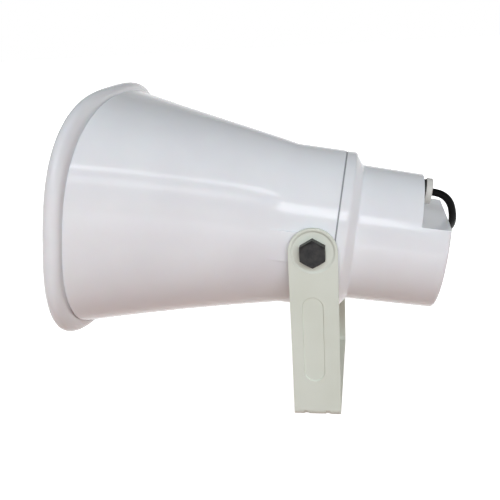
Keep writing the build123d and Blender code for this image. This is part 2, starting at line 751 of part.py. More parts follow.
def build_bushing():
    """White lead bushing: snap barbs inside, neck through the wall, flange outside."""
    barb_rear = wall_inside - BARB_GAP
    nose = wall_inside - BARB_LENGTH - BUSHING_NOSE
    edge = BUSHING_FLANGE_EDGE
    section = Polyline(
        (nose, lead_radius), (nose, BUSHING_NECK - BUSHING_NOSE),
        (barb_rear, BARB_RADIUS), (barb_rear, BUSHING_NECK),
        (flange_front, BUSHING_NECK), (flange_front, BUSHING_FLANGE - edge),
        (flange_front + edge, BUSHING_FLANGE), (flange_rear - edge, BUSHING_FLANGE),
        (flange_rear, BUSHING_FLANGE - edge), (flange_rear, lead_radius), close=True)
    return Pos(0, 0, LEAD_HEIGHT) * revolve(make_face(section), Axis.X)


def build_seal():
    """Black rubber seal between the bushing's flange and the cover."""
    ring = rod(NOTCH_FACE, flange_front, SEAL_RADIUS, 0, LEAD_HEIGHT)
    return ring - rod(NOTCH_FACE, flange_front, BUSHING_NECK, 0, LEAD_HEIGHT)


place = Pos(0, 0, PIVOT_HEIGHT) * Rot(0, REST_TILT, 0) * Pos(0, 0, -PIVOT_ABOVE_AXIS)


def placed_point(x, y, z):
    """A horn-frame point in the row frame."""
    moved = place * Vertex(x, y, z)
    centre = moved.center()
    return (centre.X, centre.Y, centre.Z)


hank_floor = lead_radius
hank_entry = (HANK_CENTRE[0], HANK_CENTRE[1] - HANK_RADIUS, hank_floor)
lead_points = [
    placed_point(LEAD_START, 0, LEAD_HEIGHT), placed_point(LEAD_BEND_START, 0, LEAD_HEIGHT),
    *LEAD_ROUTE, *[(x, y, hank_floor) for x, y in LEAD_FLOOR_POINTS], hank_entry]


def build_lead():
    """The lead's outer sheath, from inside the cover down to the hank on the floor."""
    radii = arc_radii(lead_points)
    lead = wire_along(lead_points, radii, LEAD_DIAMETER)
    path = FilletPolyline(*lead_points, radius=radii)
    section = pi * lead_radius ** 2
    volume_ratio = lead.volume / section / path.length
    print("lead radii", [round(radius, 1) for radius in radii])
    print("lead length", round(path.length, 1), "volume ratio", round(volume_ratio, 4))
    return lead


hank_width = HANK_TURNS_WIDE * LEAD_DIAMETER


def build_hank():
    """Outer shape of the put-away turns: a flat ring with rounded sides."""
    section = Pos(HANK_RADIUS, lead_radius) * SlotOverall(hank_width, LEAD_DIAMETER)
    ring = revolve(Plane.XZ * section, Axis.Z)
    return Pos(HANK_CENTRE[0], HANK_CENTRE[1], 0) * ring


hank_inner = HANK_RADIUS - hank_width / 2


def build_bare_cores():
    """Two bared cores at the lead's free end, which points into the open middle of the hank."""
    cores = []
    for side in (-1, 1):
        core = cross_rod(0, BARE_CORE_LENGTH, CORE_DIAMETER / 2, x=side * CORE_SPREAD / 2)
        cores.append(core)
    angle = radians(BARE_END_ANGLE)
    start = Pos(HANK_CENTRE[0] + hank_inner * cos(angle),
                HANK_CENTRE[1] + hank_inner * sin(angle), lead_radius)
    return joined(*[start * Rot(0, 0, BARE_END_TURN) * core for core in cores])


# Pivot hardware and bracket, in the row frame

dimple_inner = PAD_FACE + WASHER_THICKNESS + SIDE_GAP
arm_inner = dimple_inner + DIMPLE_DEPTH
arm_outer = arm_inner + SHEET
head_inner = arm_outer - DIMPLE_DEPTH + SIDE_GAP
head_outer = head_inner + BOLT_HEAD
arm_half = ARM_WIDTH / 2


def build_washers():
    """Thin friction washers between the pads and the arms."""
    ring = cross_rod(PAD_FACE, PAD_FACE + WASHER_THICKNESS, WASHER_RADIUS, z=PIVOT_HEIGHT)
    ring -= cross_rod(PAD_FACE, PAD_FACE + WASHER_THICKNESS, BOLT_DIAMETER / 2 + FIT_GAP, z=PIVOT_HEIGHT)
    return joined(*both_sides(ring))


def build_bolts():
    """Two hexagon bolts, corners up and down, screwed through the arms into the inserts."""
    hexagon = RegularPolygon(BOLT_ACROSS_FLATS / 2, 6, major_radius=False, rotation=30)
    crown_radius = BOLT_ACROSS_FLATS / 2 - BOLT_CHAMFER
    crown = Cone(crown_radius + BOLT_HEAD / tan(radians(DRAFT)), crown_radius,
                 BOLT_HEAD, align=(Align.CENTER, Align.CENTER, Align.MIN))
    head = extrude(hexagon, amount=BOLT_HEAD) & crown
    head = Pos(0, head_inner, PIVOT_HEIGHT) * Rot(-90, 0, 0) * head
    bolt = head + cross_rod(BOLT_END, head_inner, BOLT_DIAMETER / 2, z=PIVOT_HEIGHT)
    return joined(*both_sides(bolt))


def dimple_at(face):
    """Shallow drafted disc, its wide side on the given face."""
    narrow = DIMPLE_RADIUS - DIMPLE_DEPTH / tan(radians(DRAFT))
    cone = Cone(narrow, DIMPLE_RADIUS, DIMPLE_DEPTH, align=(Align.CENTER, Align.CENTER, Align.MAX))
    return Pos(0, face, PIVOT_HEIGHT) * Rot(-90, 0, 0) * cone


def emboss_at(face):
    """Shallow drafted stadium, its wide side on the given face."""
    length = EMBOSS_TOP - EMBOSS_BOTTOM
    middle = PIVOT_HEIGHT + (EMBOSS_TOP + EMBOSS_BOTTOM) / 2
    slot = SlotOverall(length, EMBOSS_WIDTH, rotation=90)
    stadium = extrude(slot, amount=DIMPLE_DEPTH, taper=DRAFT)
    return Pos(EMBOSS_OFFSET, face, middle) * Rot(90, 0, 0) * stadium


def dart(x, corner_y, corner_z):
    """Triangular prism across the bend at the foot of the +Y arm."""
    outline = Polyline((corner_y, corner_z), (corner_y - DART_LEG, corner_z),
                       (corner_y, corner_z + DART_LEG), close=True)
    return Pos(x, 0, 0) * extrude(Plane.YZ * make_face(outline), amount=DART_WIDTH / 2, both=True)


def build_bracket():
    """Steel U bracket: base with three holes, two arms with pressed dimples, embosses and darts."""
    bend_outer = BEND_RADIUS + SHEET
    height = PIVOT_HEIGHT + arm_half
    outer = block(across(arm_half), across(arm_outer), (0, height))
    outer = fillet(outer.edges().filter_by(Axis.X).group_by(Axis.Z)[0], bend_outer)
    inner = block(across(arm_half), across(arm_inner), (SHEET, height + SHEET))
    inner = fillet(inner.edges().filter_by(Axis.X).group_by(Axis.Z)[0], BEND_RADIUS)
    silhouette = block(across(arm_half), across(arm_outer), (0, PIVOT_HEIGHT))
    silhouette += cross_rod(-arm_outer, arm_outer, arm_half, z=PIVOT_HEIGHT)
    bracket = (outer - inner) & silhouette
    for shape_at in (dimple_at, emboss_at):
        for piece in both_sides(shape_at(arm_inner)):
            bracket += piece
        for piece in both_sides(shape_at(arm_outer)):
            bracket -= piece
    for x in DART_PLACES:
        for rib in both_sides(dart(x, arm_inner, SHEET)):
            bracket += rib
        for groove in both_sides(dart(x, arm_outer, 0)):
            bracket -= groove
    for hole in both_sides(cross_rod(dimple_inner, arm_outer, BOLT_HOLE / 2, z=PIVOT_HEIGHT)):
        bracket -= hole
    bracket -= Cylinder(BASE_HOLE / 2, 2 * SHEET)
    for side in (-1, 1):
        hole = Cylinder(BASE_SLOT_HOLE / 2, 2 * SHEET)
        bracket -= Pos(0, side * BASE_SPACING / 2, 0) * hole
    return bracket


# Parts

horn_parts = {
    "horn_flare": build_flare(),
    "reflector": build_reflector(),
    "throat_tube": build_throat(),
    "bulkhead_screws": build_bulkhead_screws(),
    "neck_gasket": turned((SEAM, SEAT_BORE), (SEAM, GASKET_RADIUS), (cover_front, GASKET_RADIUS),
                          (cover_front, SEAT_BORE)),
    "phase_plug": build_phase_plug(),
    "diaphragm_ring": turned((bulkhead_rear, RING_BORE), (bulkhead_rear, SURROUND_RADIUS),
                             (ring_rear, SURROUND_RADIUS), (ring_rear, RING_BORE)),
    "diaphragm": build_diaphragm(),
    "voice_coil": turned((dome_base, DOME_RADIUS), (dome_base, DOME_RADIUS + COIL_WALL),
                         (dome_base + COIL_LENGTH, DOME_RADIUS + COIL_WALL),
                         (dome_base + COIL_LENGTH, DOME_RADIUS)),
    "top_plate": build_top_plate(),
    "magnet": turned((plate_rear, MAGNET_BORE), (plate_rear, MAGNET_RADIUS),
                     (magnet_rear, MAGNET_RADIUS), (magnet_rear, MAGNET_BORE)),
    "yoke": build_yoke(),
    "driver_screws": build_driver_screws(),
    "terminal_board": build_board(),
    "terminal_lugs": build_lugs(),
    "transformer_core": build_core(),
    "transformer_winding": build_winding(),
    "transformer_strap": build_strap(),
    "transformer_screws": build_strap_screws(),
    "inner_leads": build_inner_leads(),
    "supply_cores": build_supply_cores(),
    "rear_cover": build_cover(),
    "cover_screws": build_cover_screws(),
    "bushing_seal": build_seal(),
    "cable_bushing": build_bushing(),
    "boss_inserts": build_inserts(),
}
row_parts = {
    "pivot_bolts": build_bolts(),
    "friction_washers": build_washers(),
    "bracket": build_bracket(),
    "cable": build_lead(),
    "cable_coil": build_hank(),
    "cable_cores": build_bare_cores(),
}

os.makedirs("parts", exist_ok=True)
for name, shape in horn_parts.items():
    export_step(place * shape, f"parts/{name}.step")
for name, shape in row_parts.items():
    export_step(shape, f"parts/{name}.step")
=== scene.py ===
import bmesh
import bpy
import json
from math import asin, cos, pi, radians, sin
from mathutils import Matrix, Vector


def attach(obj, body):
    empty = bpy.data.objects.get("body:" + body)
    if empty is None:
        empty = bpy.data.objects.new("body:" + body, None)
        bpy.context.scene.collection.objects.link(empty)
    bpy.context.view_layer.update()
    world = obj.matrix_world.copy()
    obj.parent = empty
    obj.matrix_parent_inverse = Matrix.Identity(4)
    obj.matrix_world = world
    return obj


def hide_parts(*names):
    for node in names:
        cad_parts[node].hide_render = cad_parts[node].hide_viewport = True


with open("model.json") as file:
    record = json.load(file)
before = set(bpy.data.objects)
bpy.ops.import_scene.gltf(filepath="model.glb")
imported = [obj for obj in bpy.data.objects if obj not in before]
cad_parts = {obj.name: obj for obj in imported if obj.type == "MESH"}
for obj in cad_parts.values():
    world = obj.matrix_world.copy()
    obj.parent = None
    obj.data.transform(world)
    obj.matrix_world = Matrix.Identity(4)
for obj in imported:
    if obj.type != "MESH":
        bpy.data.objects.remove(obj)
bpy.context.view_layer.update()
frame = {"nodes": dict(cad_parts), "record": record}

MM = 0.001

# The camera that took the picture, from the fit of the horn's outline and the bolt head.
CAMERA_PLACE = Vector((35.6, -509.5, 276.2)) * MM
CAMERA_YAW = -9.89
CAMERA_PITCH = 18.23
CAMERA_ROLL = -3.49
CAMERA_LENS = 50.81
SENSOR_WIDTH = 36.0

# Finishes, each as the two sRGB hex colours that its surface wanders between
ABS_WHITE = ("#F0F1F2", "#E9E9EB")
ABS_GREY = ("#5A5A5C", "#4E4E50")
CREAM_PAINT = ("#E6EBDF", "#DFE4D6")
NYLON_WHITE = ("#D5D3CD", "#CDCAC2")
BLACK_OXIDE = ("#1E1D1F", "#3A3836")
PVC_BLACK = ("#090808", "#121111")
RUBBER_BLACK = ("#141414", "#1F1F1F")
# Gasket grey, darker than the horn: partly painted shade for the seam line
GASKET_SEAM_SHADE_GREY = ("#9B9C9E", "#8E8F91")
CORE_RED = ("#B0221C", "#9A1C18")
ZINC_BRIGHT = ("#C9C8C2", "#A9A89F")
ZINC_DULL = ("#A9A89F", "#8F8E86")
BRASS = ("#C9A24B", "#B08C3C")
COPPER = ("#B4693E", "#A05A32")
FERRITE = ("#28282B", "#3A393A")
PHENOLIC = ("#7A4A22", "#6A3E1C")
BOARD_BROWN = ("#8A6234", "#7A5428")
TAPE_YELLOW = ("#D0AE3A", "#BC9A2E")
LAMINATION = ("#54555A", "#3E3F44")

# How the finishes vary
NOISE_RANGE = (0.3, 0.7)
PLASTIC_ROUGHNESS_SPREAD = 0.05
METAL_ROUGHNESS_SPREAD = 0.15
METAL_PATCH_IN_GRAINS = 6
PLASTIC_IOR = 1.5
ABS_IOR = 1.53
PVC_IOR = 1.53

# The Mix node's own numbers for its two colours and their result
MIX_FIRST = 6
MIX_SECOND = 7
MIX_RESULT = 2

# Studio: distances in metres, heights on the wall as the sine of their elevation, white as 1
PAPER_WHITE = "#FFFFFF"
FLOOR_BOUNCE = "#94562E"
SOFTBOX_COOL = "#F0F8FF"
WINDOW_COOL = "#F4F8FF"
WINDOW_PALE = "#FAFAFF"
FLOOR_GLOW = 0.72
SHADOW_REACH = (0.25, 0.8)
FLOOR_HALF = 6.0
SOFTBOX_DISTANCE = 1.9
WINDOW_DISTANCE = 1.3
WALL_WHITE_TO = 0.05
CEILING_FROM = 0.32
CEILING = 0.25
AMBIENT = 0.22
LIT_CENTRE = (-0.03, 0.0, 0.125)

# How the horn hangs in its bracket, in millimetres and degrees
PIVOT_HEIGHT = 125.0
PIVOT_ABOVE_AXIS = 1.0
REST_TILT = 8.6

# Horn, in millimetres of the horn's own frame: +X to the rear, +Z up, origin on its axis
MOUTH_FRONT = -167.8
LIP_BACK = -156.0
LIP_HALF_WIDTH = 116.4
LIP_HALF_HEIGHT = 86.75
LIP_SQUARENESS = 3.02
LIP_SINK = 0.8
LIP_ROLL = 165.0
LIP_GROOVE_WIDTH = 1.4
LIP_GROOVE_DEPTH = 2.0
LIP_GROOVE_EDGE = 0.2
FLARE_HALF_WIDTH = 110.9
FLARE_HALF_HEIGHT = 82.7
FLARE_SQUARENESS = 2.54
WIDTH_GROWTH = 1.38
HEIGHT_GROWTH = 0.91
SQUARENESS_GROWTH = 1.15
BEND = -22.3
NECK_RADIUS = 59.6
SEAM = 13.2
SEAM_RADIUS = 58.8
WALL = 2.6
SHOULDER_FRONT = 2.0
SHOULDER_REAR = 8.0
SHOULDER_BORE = 45.0
SEAT_BORE = 54.5
EDGE = 0.5
PAD_FACE = 59.8
PAD_ROOT = 50.8
PAD_OUTLINE = ((12.0, -11.0), (12.0, 11.0), (-36.0, 11.0), (-50.0, 5.0), (-50.0, -5.0), (-36.0, -11.0))
BOSS_RADIUS = 9.5
BOSS_INNER_FACE = 45.0
BOSS_SINK = 0.5
INSERT_RADIUS = 7.2
LUG_ANGLE = 20.0
LUG_LENGTH = 12.0
LUG_WIDTH = 9.0
LUG_DEPTH = 3.0
LUG_SLOT = 2.4
CUT_PAST = 1.0

# Rear cover, in the horn's own frame
COVER_FRONT = 14.2
COVER_RING_RADIUS = 58.4
COVER_SLOPE_FRONT = 20.9
COVER_SHOULDER_REAR = 27.1
COVER_SHOULDER_RADIUS = 49.8
COVER_REAR = 90.4
COVER_REAR_RADIUS = 47.6
COVER_WALL = 2.8
RING_ROUND = 1.6
SHOULDER_ROUND = 1.2
CAP_ROUND = 3.4
NOTCH_FACE = 70.0
NOTCH_SHELF = 22.0
POST_PLACE = 28.3
HEAD_RECESS_RADIUS = 4.4
HEAD_RECESS_DEPTH = 2.6
BUSHING_GAP = 0.2

# Bushing and its seal, round the lead, in the horn's own frame
BUSHING_NECK = 6.4
BUSHING_FLANGE = 9.3
SEAL_THICKNESS = 2.6
FLANGE_THICKNESS = 4.4
FLANGE_FRONT = NOTCH_FACE + SEAL_THICKNESS
FLANGE_REAR = FLANGE_FRONT + FLANGE_THICKNESS
FLANGE_ROUND = 0.7
BARB_RADIUS = 7.2
BARB_LENGTH = 2.5
BARB_GAP = 0.35
NOSE_TAPER = 1.0
SEAL_RADIUS = 8.2

# How finely the meshes are divided, and the angle in degrees from which an edge looks sharp
RING_POINTS = 144
FLARE_RINGS = 30
LIP_RINGS = 14
CAP_RINGS = 8
ROUND_STEPS = 5
BEVEL_STEPS = 3
TURNED_POINTS = 72
RIM_STEPS = 4
ROUND_BAR_POINTS = 48
SHARP_FROM = 35.0

# Lead, in millimetres: its route has the places of its points in the row frame
LEAD_DIAMETER = 5.5
LEAD_RADIUS = LEAD_DIAMETER / 2
LEAD_ROUTE = (
    (91.0, 0.2, 146.4), (95.6, 1.2, 140.6), (97.6, 4.0, 132.6), (98.4, 9.5, 124.5),
    (98.0, 18.5, 118.0), (97.6, 31.0, 112.5), (97.0, 50.0, 106.0), (96.0, 72.0, 97.0),
    (93.0, 94.0, 82.0), (88.0, 113.0, 60.0), (80.0, 130.0, 37.0), (69.5, 143.5, 17.5),
    (57.0, 152.5, 6.0), (45.5, 160.5, 2.75), (29.5, 163.8, 2.75),
)
LEAD_HEIGHT = 37.5
LEAD_START = 62.0
LEAD_BEND_START = 79.0
HANK_CENTRE = (12.0, 191.5)
HANK_OUTER_TURN = 33.4
HANK_TURN_STEP = 5.9
HANK_TURNS = 1.35
HANK_FIRST_ANGLE = -90.0
HANK_OVAL = 3.0

# How finely the lead is divided, and over how many points the hank's oval fades to its round end
POINTS_PER_TURN = 16
HANK_OVAL_FADE = 5
LEAD_SIDE_STEPS = 6
LEAD_STEPS_PER_POINT = 8
LEAD_CURVE_ORDER = 3


def linear(hex_colour):
    """Linear RGBA from an sRGB hex colour."""
    values = [int(hex_colour[i:i + 2], 16) / 255 for i in (1, 3, 5)]
    return [v / 12.92 if v <= 0.04045 else ((v + 0.055) / 1.055) ** 2.4 for v in values] + [1.0]


def add(tree, kind, inputs=None, **settings):
    """One node with its settings; an input is a plain value or another node's socket."""
    node = tree.nodes.new(kind)
    for name, value in settings.items():
        setattr(node, name, value)
    for name, value in (inputs or {}).items():
        if isinstance(value, bpy.types.NodeSocket):
            tree.links.new(value, node.inputs[name])
        else:
            node.inputs[name].default_value = value
    return node


def metres(place):
    """A place in millimetres as a vector in metres."""
    return Vector(place) * MM


def horn_point(x, y, z):
    """A point of the horn's own frame, in millimetres, as a place in the row frame."""
    tilt = radians(REST_TILT)
    above = z - PIVOT_ABOVE_AXIS
    return (x * cos(tilt) + above * sin(tilt), y, PIVOT_HEIGHT - x * sin(tilt) + above * cos(tilt))


# Camera


def set_camera():
    """Camera at the photograph's place, turned by yaw, pitch and roll."""
    yaw, pitch, roll = (radians(a) for a in (CAMERA_YAW, CAMERA_PITCH, CAMERA_ROLL))
    ahead = Vector((sin(yaw) * cos(pitch), cos(yaw) * cos(pitch), -sin(pitch)))
    level_right = Vector((cos(yaw), -sin(yaw), 0))
    level_up = level_right.cross(ahead)
    right = level_right * cos(roll) + level_up * sin(roll)
    up = level_up * cos(roll) - level_right * sin(roll)
    data = bpy.data.cameras.new("camera")
    data.sensor_fit = "HORIZONTAL"
    data.sensor_width = SENSOR_WIDTH
    data.lens = CAMERA_LENS
    camera = bpy.data.objects.new("camera", data)
    camera.matrix_world = Matrix.Translation(CAMERA_PLACE) @ Matrix((right, up, -ahead)).transposed().to_4x4()
    bpy.context.collection.objects.link(camera)
    bpy.context.scene.camera = camera


set_camera()

# Materials


def blotches(size_mm, detail=2.0, breakup=0.5):
    """Settings of a noise whose blotches are about size_mm across."""
    return {"Scale": 1 / (size_mm * MM), "Detail": detail, "Roughness": breakup}


def new_finish(name, colours, roughness, tint, sheen, relief, depth_mm, strength, surface):
    """Material whose colour, roughness and height wander by the noises tint, sheen and relief.

    roughness is its lowest and highest value; surface holds what is the same all over it.
    """
    material = bpy.data.materials.new(name)
    material.use_nodes = True
    tree = material.node_tree
    tree.nodes.clear()
    place = add(tree, "ShaderNodeTexCoord").outputs["Object"]
    wander = [add(tree, "ShaderNodeTexNoise", {"Vector": place, **settings}).outputs["Fac"]
              for settings in (tint, sheen, relief)]
    share, matt = (add(tree, "ShaderNodeMapRange", {
        "Value": value, "From Min": NOISE_RANGE[0], "From Max": NOISE_RANGE[1],
        "To Min": low, "To Max": high}).outputs["Result"]
        for value, (low, high) in zip(wander, ((0, 1), roughness)))
    mixed = add(tree, "ShaderNodeMix", {
        "Factor": share, MIX_FIRST: linear(colours[0]), MIX_SECOND: linear(colours[1])}, data_type="RGBA")
    bump = add(tree, "ShaderNodeBump", {"Height": wander[2], "Distance": depth_mm * MM, "Strength": strength})
    shader = add(tree, "ShaderNodeBsdfPrincipled", {
        "Base Color": mixed.outputs[MIX_RESULT], "Roughness": matt, "Normal": bump.outputs["Normal"],
        **surface})
    add(tree, "ShaderNodeOutputMaterial", {"Surface": shader.outputs["BSDF"]})
    return material


def moulded_abs():
    """Gloss ABS from a polished mould: clear highlights with a faint ripple, and slight flow marks."""
    return new_finish(
        "gloss_white_abs_moulded", ABS_WHITE, roughness=(0.10, 0.14), tint=blotches(60.0, 3.0),
        sheen=blotches(1.2, 3.0), relief=blotches(14.0, 1.5), depth_mm=0.04, strength=0.4,
        surface={"IOR": ABS_IOR, "Subsurface Weight": 0.05, "Subsurface Scale": 0.002})


def powder_coat():
    """Semi-gloss powder coat on pressed steel: orange peel, coarse enough to show, softens highlights."""
    peel = blotches(1.6)
    return new_finish(
        "cream_powder_coated_steel", CREAM_PAINT, roughness=(0.38, 0.48), tint=blotches(45.0), sheen=peel,
        relief=peel, depth_mm=0.05, strength=0.6, surface={"IOR": PLASTIC_IOR})


def black_oxide():
    """Black oxide on forged steel: dark, oily sheen, greyer where spanners rub."""
    rub = blotches(4.0, 4.0, 0.6)
    return new_finish(
        "black_oxide_steel_forged", BLACK_OXIDE, roughness=(0.32, 0.5), tint=rub, sheen=rub,
        relief=blotches(0.8), depth_mm=0.04, strength=0.5, surface={"Metallic": 0.6})


def pvc_sheath():
    """Extruded black PVC: smooth and nearly matt, with faint scuffs."""
    grain = blotches(1.5, 3.0)
    return new_finish(
        "black_pvc_sheath_extruded", PVC_BLACK, roughness=(0.34, 0.44), tint=grain, sheen=grain,
        relief=grain, depth_mm=0.02, strength=0.4, surface={"IOR": PVC_IOR, "Specular IOR Level": 0.06})


def plain_plastic(name, colours, roughness, grain_mm):
    """Moulded, pressed or ground surface with an even grain, drawn coarse enough to show."""
    grain = blotches(grain_mm, 3.0)
    spread = (roughness - PLASTIC_ROUGHNESS_SPREAD, roughness + PLASTIC_ROUGHNESS_SPREAD)
    return new_finish(
        name, colours, spread, tint=grain, sheen=grain, relief=grain, depth_mm=0.03, strength=0.5,
        surface={"IOR": PLASTIC_IOR})


def plated_metal(name, colours, roughness, grain_mm):
    """Plated or bare metal whose dull patches break up its reflections."""
    patch = blotches(METAL_PATCH_IN_GRAINS * grain_mm, 3.0)
    spread = (roughness, roughness + METAL_ROUGHNESS_SPREAD)
    return new_finish(
        name, colours, spread, tint=patch, sheen=patch, relief=blotches(grain_mm), depth_mm=0.02,
        strength=0.4, surface={"Metallic": 1.0})


abs_gloss = moulded_abs()
finishes = {
    "white_abs": abs_gloss,
    "inner_abs": abs_gloss,
    "cream_paint": powder_coat(),
    "black_steel": black_oxide(),
    "lead_sheath": pvc_sheath(),
    # Matt grey inside parts, as they come from an etched mould
    "grey_abs": plain_plastic("grey_abs_moulded", ABS_GREY, roughness=0.5, grain_mm=1.0),
    # Bright screws, a little dulled by the zinc
    "screw_zinc": plated_metal("zinc_plated_screw_steel", ZINC_BRIGHT, roughness=0.28, grain_mm=0.5),
    # Dull black rubber with hardly any highlight
    "black_rubber": plain_plastic("black_rubber_moulded", RUBBER_BLACK, roughness=0.7, grain_mm=0.6),
    # Thin brown film with a resin sheen
    "phenolic_film": plain_plastic("phenolic_film_pressed", PHENOLIC, roughness=0.35, grain_mm=0.8),
    # Lacquer keeps the copper warm and bright
    "copper_winding": plated_metal("lacquered_copper_wire", COPPER, roughness=0.25, grain_mm=0.3),
    # Grey plating that clouds in patches
    "plated_iron": plated_metal("zinc_plated_iron", ZINC_DULL, roughness=0.32, grain_mm=0.8),
    # Near-black ceramic, even and dry
    "ferrite": plain_plastic("ground_ferrite", FERRITE, roughness=0.62, grain_mm=0.5),
    # Brown paper board, half matt
    "board": plain_plastic("phenolic_board", BOARD_BROWN, roughness=0.5, grain_mm=0.7),
    # Yellow metal, bright, with a faint grain
    "brass_lugs": plated_metal("turned_brass", BRASS, roughness=0.25, grain_mm=0.4),
    # Dark steel under a thin coat of varnish
    "lamination_steel": plated_metal("varnished_lamination_steel", LAMINATION, roughness=0.4, grain_mm=0.5),
    # Shiny yellow film, slightly wrinkled
    "winding_tape": plain_plastic("polyester_winding_tape", TAPE_YELLOW, roughness=0.4, grain_mm=2.0),
    # Plain red wire, half gloss
    "lead_cores": plain_plastic("red_pvc_core", CORE_RED, roughness=0.4, grain_mm=0.8),
    # Off-white nylon with a soft waxy sheen
    "white_nylon": plain_plastic("natural_nylon_moulded", NYLON_WHITE, roughness=0.42, grain_mm=0.9),
}
own_finishes = {
    # Grey gasket in the seam: its grey is partly the gasket's own and partly painted shade for the seam's
    # soft line
    "neck_gasket": plain_plastic("grey_gasket_and_painted_seam_shade", GASKET_SEAM_SHADE_GREY, roughness=0.6, grain_mm=0.6),
}


def dress_nodes():
    """Each carried-over solid takes the finish of its slot in the record, or its own."""
    for subpart in frame["record"]["subparts"]:
        node = frame["nodes"][subpart["node"]]
        finish = own_finishes.get(subpart["node"], finishes[subpart["material_slot"]])
        node.data.materials.clear()
        node.data.materials.append(finish)


dress_nodes()

# Horn flare


def flare_size(x, inset=0.0):
    """Half width, half height and squareness of the flare at x, set in by inset."""
    grown = min(max((BEND - x) / (BEND - LIP_BACK), 0.0), 1.0)
    half_width = NECK_RADIUS + (FLARE_HALF_WIDTH - NECK_RADIUS) * grown ** WIDTH_GROWTH
    half_height = NECK_RADIUS + (FLARE_HALF_HEIGHT - NECK_RADIUS) * grown ** HEIGHT_GROWTH
    return half_width - inset, half_height - inset, 2 + (FLARE_SQUARENESS - 2) * grown ** SQUARENESS_GROWTH


def lip_ring(angle):
    """Place and size of the lip's bead where it has rolled through angle."""
    half_width, half_height, squareness = flare_size(LIP_BACK)
    half_length = (LIP_BACK - MOUTH_FRONT) / (1 - cos(radians(LIP_ROLL)))
    rise = sin(angle)
    return (LIP_BACK - half_length + half_length * cos(angle),
            half_width - LIP_SINK + (LIP_HALF_WIDTH - half_width + LIP_SINK) * rise,
            half_height - LIP_SINK + (LIP_HALF_HEIGHT - half_height + LIP_SINK) * rise,
            squareness + (LIP_SQUARENESS - squareness) * rise)


def horn_rings():
    """Every ring of the moulding: neck, flare, groove and lip outside, then back in to the seam."""
    rings = [(SEAM, SEAM_RADIUS - EDGE / 2, SEAM_RADIUS - EDGE / 2, 2),
             (SEAM - EDGE / 2, SEAM_RADIUS, SEAM_RADIUS, 2),
             (BEND, NECK_RADIUS, NECK_RADIUS, 2)]
    stations = [BEND - (BEND - LIP_BACK) * step / FLARE_RINGS for step in range(1, FLARE_RINGS + 1)]
    groove_rear = LIP_BACK + LIP_GROOVE_WIDTH
    groove_floor = groove_rear - LIP_GROOVE_EDGE
    rings += [(x, *flare_size(x)) for x in stations[:-1]]
    rings += [(groove_rear, *flare_size(groove_rear)),
              (groove_floor, *flare_size(groove_floor, LIP_GROOVE_DEPTH)),
              (LIP_BACK, *flare_size(LIP_BACK, LIP_GROOVE_DEPTH))]
    first = asin(LIP_SINK / (LIP_HALF_WIDTH - FLARE_HALF_WIDTH + LIP_SINK))
    last = radians(LIP_ROLL)
    rings += [lip_ring(first + (last - first) * step / LIP_RINGS) for step in range(1, LIP_RINGS + 1)]
    rings += [(MOUTH_FRONT, *flare_size(LIP_BACK, WALL - EDGE)),
              (MOUTH_FRONT + EDGE, *flare_size(LIP_BACK, WALL)),
              (LIP_BACK, *flare_size(LIP_BACK, WALL))]
    rings += [(x, *flare_size(x, WALL)) for x in reversed(stations[:-1])]
    inside = NECK_RADIUS - WALL
    rings += [(x, radius, radius, 2) for x, radius in (
        (BEND, inside), (SHOULDER_FRONT, inside), (SHOULDER_FRONT, SHOULDER_BORE),
        (SHOULDER_REAR, SHOULDER_BORE), (SHOULDER_REAR, SEAT_BORE), (SEAM, SEAT_BORE))]
    return rings


def ring_points(x, half_width, half_height, squareness):
    """Points round one ring of the horn, as places in the row frame in metres."""
    points = []
    for step in range(RING_POINTS):
        angle = 2 * pi * step / RING_POINTS
        reach = (abs(cos(angle)) ** squareness + abs(sin(angle)) ** squareness) ** (-1 / squareness)
        points.append(metres(horn_point(
            x, half_width * reach * cos(angle), half_height * reach * sin(angle))))
    return points


def ring_faces(rings, count, closed):
    """Faces from each ring of count points to the next, and from the last to the first if closed."""
    faces = []
    for ring in range(rings if closed else rings - 1):
        here, ahead = ring * count, (ring + 1) % rings * count
        for i in range(count):
            j = (i + 1) % count
            faces.append((here + i, ahead + i, ahead + j, here + j))
    return faces


def new_solid(name, points, faces, finish, bevel=0.0):
    """Closed mesh object from points in metres, its faces turned outward, its edges bevelled where asked."""
    mesh = bpy.data.meshes.new(name)
    mesh.from_pydata([tuple(p) for p in points], [], faces)
    mesh.validate()
    thing = bpy.data.objects.new(name, mesh)
    bpy.context.collection.objects.link(thing)
    mesh.materials.append(finish)
    shape = bmesh.new()
    shape.from_mesh(mesh)
    bmesh.ops.recalc_face_normals(shape, faces=shape.faces)
    if bevel:
        bmesh.ops.bevel(shape, geom=list(shape.edges), offset=bevel * MM, segments=BEVEL_STEPS, profile=0.5,
                        affect="EDGES")
    shape.to_mesh(mesh)
    shape.free()
    return thing


def prism(name, outline, low, high, to_row, bevel=0.0):
    """Closed prism: an outline in two of the horn's axes, carried by to_row along the third."""
    count = len(outline)
    points = [metres(to_row(a, b, level)) for level in (low, high) for a, b in outline]
    faces = [tuple(range(count)), tuple(range(2 * count - 1, count - 1, -1))]
    faces += [(i, i + count, (i + 1) % count + count, (i + 1) % count) for i in range(count)]
    return new_solid(name, points, faces, finishes["white_abs"], bevel)


def along_horn(y, z):
    """Where a prism lies whose length runs along the horn, its outline about (y, z)."""
    return lambda across, up, x: horn_point(x, y + across, z + up)


def along_pivot(side):
    """Where a prism lies whose length runs out along the pivot, on the side -1 or 1."""
    return lambda x, z, y: horn_point(x, side * y, z + PIVOT_ABOVE_AXIS)


def out_of_seam(turn):
    """Where a prism lies whose length runs out of the seam's lower side, turned about the horn's axis."""
    def to_row(x, across, depth):
        y, z = across, -SEAM_RADIUS - depth
        return horn_point(x, y * cos(turn) - z * sin(turn), y * sin(turn) + z * cos(turn))
    return to_row


def circle(radius):
    """Outline of a round bar."""
    angles = [2 * pi * i / ROUND_BAR_POINTS for i in range(ROUND_BAR_POINTS)]
    return [(radius * cos(angle), radius * sin(angle)) for angle in angles]


